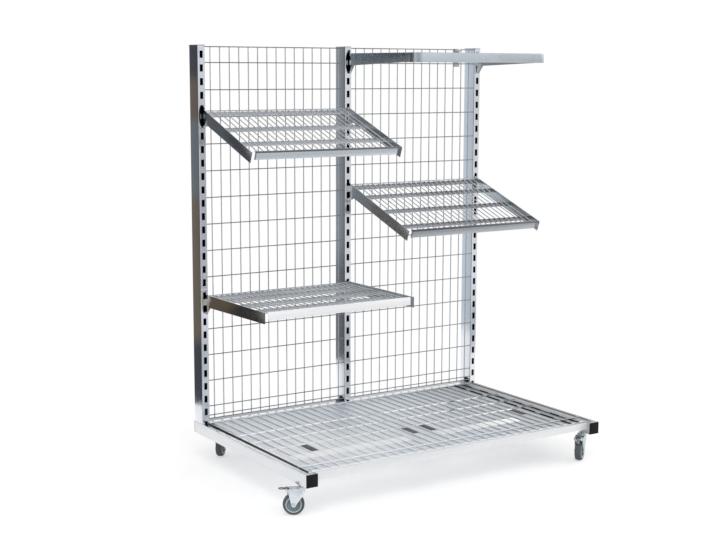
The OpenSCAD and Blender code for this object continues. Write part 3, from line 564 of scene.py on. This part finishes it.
class Shape:
    """A mesh under construction in the row frame."""

    def __init__(self):
        self.bm = bmesh.new()

    def rod(self, start, end, radius):
        """Round wire with slightly rounded ends."""
        start, end = Vector(start), Vector(end)
        length = (end - start).length
        soft = min(0.35 * radius, length / 4)
        tip = 0.7 * radius
        axis = (end - start).normalized()
        helper = Vector((0, 0, 1)) if abs(axis.z) < 0.9 else Vector((1, 0, 0))
        across = axis.cross(helper).normalized()
        upward = axis.cross(across)
        turns = [2 * math.pi / ROD_SIDES * k for k in range(ROD_SIDES)]
        rings = [[self.bm.verts.new(start + axis * s + (across * math.cos(turn) + upward * math.sin(turn)) * r)
                  for turn in turns]
                 for s, r in ((0, tip), (soft, radius), (length - soft, radius), (length, tip))]
        for low, high in zip(rings, rings[1:]):
            for k in range(ROD_SIDES):
                n = (k + 1) % ROD_SIDES
                self.bm.faces.new((low[k], low[n], high[n], high[k]))
        self.bm.faces.new(reversed(rings[0]))
        self.bm.faces.new(rings[-1])

    def box(self, low, high):
        low, high = Vector(low), Vector(high)
        made = bmesh.ops.create_cube(self.bm, size=1.0)["verts"]
        bmesh.ops.scale(self.bm, vec=high - low, verts=made)
        bmesh.ops.translate(self.bm, vec=(low + high) / 2, verts=made)

    def lathe(self, place, centre, profile):
        """Ring with a closed profile of (distance along +Y, radius), around an axis through centre."""
        rings = []
        for k in range(WHEEL_SEGMENTS):
            angle = 2 * math.pi * k / WHEEL_SEGMENTS
            rings.append([self.bm.verts.new(place @ (centre + Vector((r * math.cos(angle), s, r * math.sin(angle)))))
                          for s, r in profile])
        for k in range(WHEEL_SEGMENTS):
            first, second = rings[k], rings[(k + 1) % WHEEL_SEGMENTS]
            for n in range(len(profile)):
                m = (n + 1) % len(profile)
                self.bm.faces.new((first[n], first[m], second[m], second[n]))

    def done(self, name, node, finish=None, replaced=(), sharp=35):
        """Makes the object, rides it on its node's body and hides the CAD nodes that it stands for."""
        bmesh.ops.recalc_face_normals(self.bm, faces=self.bm.faces)
        mesh = bpy.data.meshes.new(name)
        self.bm.to_mesh(mesh)
        self.bm.free()
        mesh.shade_smooth()
        mesh.set_sharp_from_angle(angle=math.radians(sharp))
        mesh.materials.append(MATERIALS[finish or SLOT_OF[node]])
        made = bpy.data.objects.new(name, mesh)
        bpy.context.scene.collection.objects.link(made)
        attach(made, BODY_OF[node])
        if replaced:
            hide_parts(*replaced)


def softened(node, width, finish=None, segments=2, corner=50):
    """Copy of a CAD node with its sharp edges rounded, which stands for it."""
    shape = Shape()
    shape.bm.from_mesh(NODES[node].data)
    bm = shape.bm
    bmesh.ops.remove_doubles(bm, verts=bm.verts, dist=0.002 * MM)
    bmesh.ops.dissolve_limit(bm, angle_limit=math.radians(1.0), verts=bm.verts, edges=bm.edges)
    limit = math.radians(corner)
    sharp = [e for e in bm.edges if len(e.link_faces) == 2 and e.calc_face_angle(0) > limit]
    bmesh.ops.bevel(bm, geom=sharp, offset=width, segments=segments, profile=0.6, affect="EDGES",
                    clamp_overlap=True, harden_normals=False)
    shape.done(node + "_look", node, finish, [node], sharp=40)


# Posts, rails and sheet pieces
def dress_posts():
    for node in POSTS:
        NODES[node].data.materials.clear()
        NODES[node].data.materials.append(post_material(node))


# Width of the rounded edges, and a finish where the node has its own
PLAIN = {
    "post_caps": (0.8 * MM, None), "post_foot_plugs": (0.5 * MM, None), "panel_clip": (0.4 * MM, None),
    "left_side_rail": (0.4 * MM, "left_rail"), "right_side_rail": (0.4 * MM, "right_rail"),
    "rear_cross_tube": (0.4 * MM, "rear_rail"), "front_cross_tube": (0.4 * MM, "front_tube"),
    "middle_rail": (0.4 * MM, "deck_sheet"), "rail_end_caps": (0.8 * MM, None), "deck_channels": (0.5 * MM, None),
    "deck_pads": (0.4 * MM, "pad_dark"),
    "upper_shelf_left_arm": (0.6 * MM, "root_shade_arm"), "upper_shelf_right_arm": (0.6 * MM, "arm_chrome"),
    "upper_shelf_strip": (0.7 * MM, "strip_upper"), "upper_shelf_bars": (0.5 * MM, "shelf_bar"),
    "right_shelf_left_arm": (0.6 * MM, "arm_chrome"), "right_shelf_right_arm": (0.6 * MM, "pale_arm"),
    "right_shelf_strip": (0.7 * MM, "strip_right"), "right_shelf_bars": (0.5 * MM, "dark_bar"),
    "lower_shelf_left_arm": (0.6 * MM, "lower_arm"), "lower_shelf_right_arm": (0.6 * MM, "arm_chrome"),
    "lower_shelf_strip": (0.7 * MM, "strip_lower"), "lower_shelf_bars": (0.5 * MM, "shelf_bar"),
    "hang_left_arm": (0.6 * MM, "hang_arm"), "hang_right_arm": (0.6 * MM, "arm_chrome"),
}


def dress_plain():
    for node, (width, finish) in PLAIN.items():
        softened(node, width, finish)
    softened("hang_bar", 2.5 * MM, segments=3)


# Round wires in place of the square ones
def dress_back_panel(node):
    """Level wires where the CAD grid is, and upright wires pressed into their backs at the welds."""
    low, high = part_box(node)
    wire = high.y - low.y
    radius = wire / 2
    middle, level_y = (low.x + high.x) / 2, (low.y + high.y) / 2
    upright_y = level_y + wire * (1 - WELD_SINK)
    bottom, top = low.z + radius, high.z - radius
    rows = [bottom, bottom + MESH_LOW_GAP, top]
    height = bottom + MESH_FIRST_ROW
    while height < top - MESH_ROW / 3:
        rows.append(height)
        height += MESH_ROW
    level = Shape()
    for z in rows:
        level.rod((low.x, level_y, z), (high.x, level_y, z), radius)
    level.done(node + "_level", node, "level_wire")
    uprights = Shape()
    columns = int(((high.x - low.x) / 2 - wire) / MESH_PITCH)
    for k in range(-columns, columns + 1):
        x = middle + k * MESH_PITCH
        uprights.rod((x, upright_y, bottom - radius), (x, upright_y, top + radius), radius)
    uprights.done(node + "_wires", node, "mesh_wire", [node])


def dress_deck(node, side):
    """Round rods side by side on strips of sheet; the front strip has one long opening."""
    low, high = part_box(node)
    radius = DECK_WIRE / 2
    z = BASE_TOP + radius
    near, far = low.y + radius, high.y - radius
    outer = low.x + radius if side < 0 else high.x - radius
    count = int((abs(outer - MIDDLE) - DECK_PITCH) / DECK_PITCH + 0.5)
    lines = {k: MIDDLE + side * (k + 0.5) * DECK_PITCH for k in range(count)}
    lines[count] = outer
    # The outer rods get darker finishes: painted shade along the deck's edges
    finishes = {count: "edge_wire"} if side < 0 else {
        count: "margin_rod", count - 1: "short_painted_shade_rod", count - 2: "painted_shade_rod"}
    wires = Shape()
    for y in (near, near + DECK_TIE_BACK, far):
        wires.rod((MIDDLE + side * DECK_SPLIT, y, z), (outer + side * radius, y, z), radius)
    for k, x in lines.items():
        if k not in finishes:
            wires.rod((x, near, z), (x, far, z), radius)
    wires.done(node + "_rods", node, "deck_wire", [node])
    for k, finish in finishes.items():
        single = Shape()
        single.rod((lines[k], near, z), (lines[k], far, z), radius)
        single.done(f"{node}_rod_{k}", node, finish)
    dress_sheets(node, side)


def dress_sheets(node, side):
    rail_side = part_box("left_side_rail")[1] if side < 0 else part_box("right_side_rail")[0]
    ends = sorted((MIDDLE + side * POST_W / 2, rail_side.x))
    holes = sorted(MIDDLE + side * reach for reach in OPENINGS[side])
    sheets = Shape()

    def strip(start, end, left=ends[0], right=ends[1]):
        sheets.box((left, FRONT - end, BASE_TOP - DECK_SHEET), (right, FRONT - start, BASE_TOP))

    start = DECK_SHEET_START
    for k in range(DECK_GAPS):
        middle = DECK_GAP_START + k * DECK_GAP_PITCH
        strip(start, middle - DECK_GAP / 2)
        start = middle + DECK_GAP / 2
    strip(start, OPENING_START)
    strip(OPENING_START, OPENING_START + OPENING_WIDE, right=holes[0])
    strip(OPENING_START, OPENING_START + OPENING_WIDE, left=holes[1])
    strip(OPENING_START + OPENING_WIDE, DECK_SHEET_END)
    sheets.done(node + "_sheets", node, "deck_sheet")


def shelf_place(shelf):
    """Moves from a shelf's slope, y = 0 at the post's face and z = 0 at the arms' top, to the row frame."""
    side, slot, tilt, _, rise = SHELVES[shelf]
    height = BASE_TOP + SLOT_START + SLOT_PITCH * (slot - 1) + rise
    return Matrix.Translation((MIDDLE + side * BAY / 2, FRONT, height)) @ Matrix.Rotation(math.radians(tilt), 4, "X")


def dress_shelf_wires(shelf):
    place, length = shelf_place(shelf), SHELVES[shelf][3]
    node = shelf + "_wires"
    low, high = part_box(node)
    strip_low, strip_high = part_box(shelf + "_strip")
    half = (high.x - low.x) / 2
    radius = SHELF_WIRE / 2
    z = -STRIP_T - radius
    back = -SHELF_WIRE_START - radius
    pairs = int(((strip_high.x - strip_low.x) / 2 - SHELF_WIRE) / SHELF_PITCH + 0.5)
    shape = Shape()
    for k in range(-pairs, pairs):
        x = (k + 0.5) * SHELF_PITCH
        shape.rod(place @ Vector((x, back, z)), place @ Vector((x, -length + STRIP_T, z)), radius)
    shape.rod(place @ Vector((-half, back, z)), place @ Vector((half, back, z)), radius)
    shape.done(node + "_round", node, replaced=[node])


# Casters
# Tyre from its crown to its side, as shares of its half width and of the wheel's radius
TREAD = [(0.34, 0.996), (0.62, 0.980), (0.82, 0.952), (0.95, 0.912), (1.0, 0.862), (0.985, 0.81), (0.93, 0.775)]
TYRE = [(0.0, WHEEL_R)] + [(TYRE_HALF * s, WHEEL_R * r) for s, r in TREAD] + [(TYRE_HALF * 0.88, RIM_R)]
RIM = [
    (TYRE_HALF * 0.90, RIM_R), (TYRE_HALF * 0.97, RIM_R * 0.985), (TYRE_HALF * 0.97, RIM_R * 0.88),
    (TYRE_HALF * 0.86, RIM_R * 0.85), (5.0 * MM, RIM_R * 0.80), (4.2 * MM, RIM_R * 0.74),
    (4.8 * MM, HUB_R * 1.30), (6.0 * MM, HUB_R * 1.12), (HUB_HALF - 0.8 * MM, HUB_R), (HUB_HALF, HUB_R * 0.92),
    (HUB_HALF, BORE_R),
]
# Pale ring on the rim's face, as shares of the tyre's half width and of the rim's radius
RIM_RING = [(0.80, 0.99), (0.99, 0.99), (1.0, 0.97), (1.0, 0.88), (0.98, 0.865), (0.80, 0.86)]


def caster_place(corner):
    """From a caster's own frame, swivel axis at 0 and wheel trailing towards +X, to the row frame."""
    swivel = Vector(JOINTS[corner + "_swivel_turn"]["pos_m"])
    wheel = Vector(JOINTS[corner + "_wheel_spin"]["pos_m"])
    along = Vector((wheel.x - swivel.x, wheel.y - swivel.y, 0))
    turn = Matrix.Rotation(math.atan2(along.y, along.x), 4, "Z")
    return Matrix.Translation((swivel.x, swivel.y, 0)) @ turn, Vector((along.length, 0, wheel.z))


def dress_wheel(corner):
    place, centre = caster_place(corner)
    tyre, rim, ring = Shape(), Shape(), Shape()
    tyre.lathe(place, centre, TYRE + [(-s, r) for s, r in reversed(TYRE[1:])])
    tyre.done(corner + "_tyre_look", corner + "_tyre", replaced=[corner + "_tyre"], sharp=50)
    rim.lathe(place, centre, RIM + [(-s, r) for s, r in reversed(RIM)])
    rim.done(corner + "_rim_look", corner + "_rim", replaced=[corner + "_rim"], sharp=45)
    for face in (-1, 1):
        ring.lathe(place, centre, [(face * TYRE_HALF * s, RIM_R * r) for s, r in RIM_RING])
    ring.done(corner + "_rim_ring", corner + "_rim", "rim_ring", sharp=45)


def dress_caster(corner):
    dress_wheel(corner)
    softened(corner + "_fork", 0.7 * MM, "painted_shade_fork" if corner == "front_right" else None, corner=40)
    if corner.startswith("front"):
        softened(corner + "_pins", 0.4 * MM)
        softened(corner + "_pedal", 0.5 * MM, "pedal_steel", corner=40)
    else:
        softened(corner + "_axle", 0.4 * MM)


# Floor, light and surroundings
FILL = 0.75
GLOW = 0.48
FLOOR_SIZE = 40.0
NEAR_FLOOR, FAR_FLOOR = 1.8, 3.6
FLOOR_DARK, FLOOR_LIGHT = (0.60, 0.60, 0.60), (0.62, 0.62, 0.62)
LAMP_SIZE = 2.5
LAMP_TARGET = (0, 0, 0.8)


def add_world():
    """White surroundings, a little dimmer where they light the object."""
    world = bpy.data.worlds.new("studio")
    bpy.context.scene.world = world
    world.use_nodes = True
    n = Nodes(world.node_tree)
    background = n.tree.nodes["Background"]
    background.inputs["Color"].default_value = (1, 1, 1, 1)
    n.join(n.span(n.shown(), FILL, 1.0, 0.0, 1.0), background.inputs["Strength"])


def add_staged(name, corners, s):
    mesh = bpy.data.meshes.new(name)
    mesh.from_pydata(corners, [], [(0, 1, 2, 3)])
    mesh.materials.append(s.material)
    made = bpy.data.objects.new(name, mesh)
    bpy.context.scene.collection.objects.link(made)
    return made


def add_floor():
    """Pale floor that glows for the camera and turns into the white background further out."""
    s = Shader("pale_floor")
    s.tree.nodes.remove(s.bsdf)
    diffuse, near, far = (s.node("ShaderNode" + kind) for kind in ("BsdfDiffuse", "AddShader", "Emission"))
    s.join(s.ramp(s.noise(6, detail=4.0), [(0.3, FLOOR_DARK), (0.7, FLOOR_LIGHT)]), diffuse.inputs["Color"])
    glow = s.node("ShaderNodeEmission")
    s.join(s.math("MULTIPLY", s.shown(), GLOW), glow.inputs["Strength"])
    s.join(diffuse.outputs[0], near.inputs[0])
    s.join(glow.outputs[0], near.inputs[1])
    s.join(s.span(s.shown(), FILL, 1.0, 0.0, 1.0), far.inputs["Strength"])
    away = s.node("ShaderNodeVectorMath", operation="LENGTH")
    s.join(s.place, away.inputs[0])
    surface = s.node("ShaderNodeMixShader")
    s.join(s.soft_span(away.outputs["Value"], NEAR_FLOOR, FAR_FLOOR), surface.inputs[0])
    s.join(near.outputs[0], surface.inputs[1])
    s.join(far.outputs[0], surface.inputs[2])
    s.shine_through(surface.outputs[0])
    half = FLOOR_SIZE / 2
    add_staged("floor", [(-half, -half, 0), (half, -half, 0), (half, half, 0), (-half, half, 0)], s)


def add_lamp(name, place, power):
    lamp = bpy.data.lights.new(name, "AREA")
    lamp.shape = "RECTANGLE"
    lamp.size, lamp.size_y = LAMP_SIZE, LAMP_SIZE
    lamp.energy = power
    made = bpy.data.objects.new(name, lamp)
    made.location = place
    made.rotation_euler = (Vector(LAMP_TARGET) - Vector(place)).to_track_quat("-Z", "Y").to_euler()
    bpy.context.scene.collection.objects.link(made)


def add_reflector(name, corners, bands, side_tint=None):
    """Flat panel that only reflections see. bands are (height share, colour) from its foot to its top."""
    s = Shader(name)
    s.tree.nodes.remove(s.bsdf)
    axes = s.parts(s.node("ShaderNodeTexCoord").outputs["UV"])
    color = s.ramp(axes[1], bands)
    if side_tint:
        tint, (start, end) = side_tint
        color = s.mix(s.span(axes[0], 1, 0, start, end), color, tint)
    glow = s.node("ShaderNodeEmission")
    s.join(color, glow.inputs["Color"])
    s.shine_through(glow.outputs[0])
    made = add_staged(name, corners, s)
    shares = made.data.uv_layers.new(name="share").data
    for k, share in enumerate(((0, 0), (1, 0), (1, 1), (0, 1))):
        shares[k].uv = share
    for ray in ("camera", "diffuse", "transmission", "volume_scatter", "shadow"):
        setattr(made, "visible_" + ray, False)


def upright(start, end, height):
    return [(*start, 0.0), (*end, 0.0), (*end, height), (*start, height)]


SLATE = (0.060, 0.064, 0.076)
BROWN = (0.140, 0.112, 0.090)
BLUE_GREY = (0.148, 0.160, 0.174)
OLIVE = (0.152, 0.126, 0.100)
DEEP_GREY = (0.15, 0.16, 0.18)
MID_GREY = (0.26, 0.28, 0.30)
PALE_BLUE = (0.60, 0.66, 0.72)
DUSK = (0.50, 0.52, 0.56)
DAY = (0.80, 0.82, 0.86)
SCREEN_H = 2.0
SCREEN_TURN, SCREEN_END = (-0.915, 1.405), (-0.685, 1.79)
MAT_HEIGHT, CEILING = 0.002, 3.4


def add_reflectors():
    """Dim surroundings behind on the left and overhead, which the plate shows in the photograph."""
    add_reflector("back_left_screen", upright((-1.36, 0.65), SCREEN_TURN, SCREEN_H), [
        (0.0, SLATE), (0.13, SLATE), (0.16, OLIVE), (0.46, OLIVE), (0.48, BLUE_GREY), (0.63, BLUE_GREY),
        (0.65, BROWN), (0.72, BROWN), (0.74, SLATE), (1.0, SLATE),
    ], (SLATE, (0.33, 0.44)))
    add_reflector("back_middle_screen", upright(SCREEN_TURN, SCREEN_END, SCREEN_H), [
        (0.0, DEEP_GREY), (0.24, DEEP_GREY), (0.30, MID_GREY), (1.0, MID_GREY),
    ])
    add_reflector("back_right_screen", upright(SCREEN_END, (-0.50, 2.10), SCREEN_H), [
        (0.0, PALE_BLUE), (1.0, PALE_BLUE),
    ])
    add_reflector("left_screen", upright((-4.2, -2.5), (-4.2, 2.5), 2.6), [(0.0, (0.35, 0.35, 0.36)), (1.0, SLATE)])
    add_reflector("front_screen", upright((4.4, -3.6), (0.5, -3.6), 2.4), [
        (0.0, DUSK), (0.50, DUSK), (0.56, DAY), (1.0, DAY),
    ], ((0.84, 0.84, 0.84), (0.53, 0.58)))
    add_reflector("front_mat", [
        (-2.5, -3.5, MAT_HEIGHT), (4.4, -3.5, MAT_HEIGHT), (4.4, -0.75, MAT_HEIGHT), (-2.5, -0.75, MAT_HEIGHT),
    ], [
        (0.0, (0.97, 0.98, 1.0)), (0.45, (0.92, 0.93, 0.95)), (0.62, (0.58, 0.61, 0.64)),
        (0.92, (0.60, 0.63, 0.66)), (1.0, (0.95, 0.96, 0.98)),
    ])
    add_reflector("ceiling_screen", [(-3, -2.5, CEILING), (3, -2.5, CEILING), (3, 1.0, CEILING), (-3, 1.0, CEILING)],
                  [(0.0, (0.20, 0.20, 0.21)), (1.0, (0.13, 0.13, 0.14))])


MATERIALS = make_materials()
dress_posts()
dress_plain()
dress_back_panel("left_back_panel")
dress_back_panel("right_back_panel")
dress_deck("left_deck", -1)
dress_deck("right_deck", 1)
for shelf in SHELVES:
    dress_shelf_wires(shelf)
softened("caster_stems", 0.5 * MM, corner=25)
for corner in ("front_left", "front_right", "rear_left", "rear_right"):
    dress_caster(corner)
add_camera()
add_world()
add_floor()
add_reflectors()
add_lamp("key_light", (-2.5, -3.5, 4.5), 90)
add_lamp("side_light", (4.0, -1.5, 3.0), 45)

bpy.context.scene.view_settings.view_transform = "Standard"
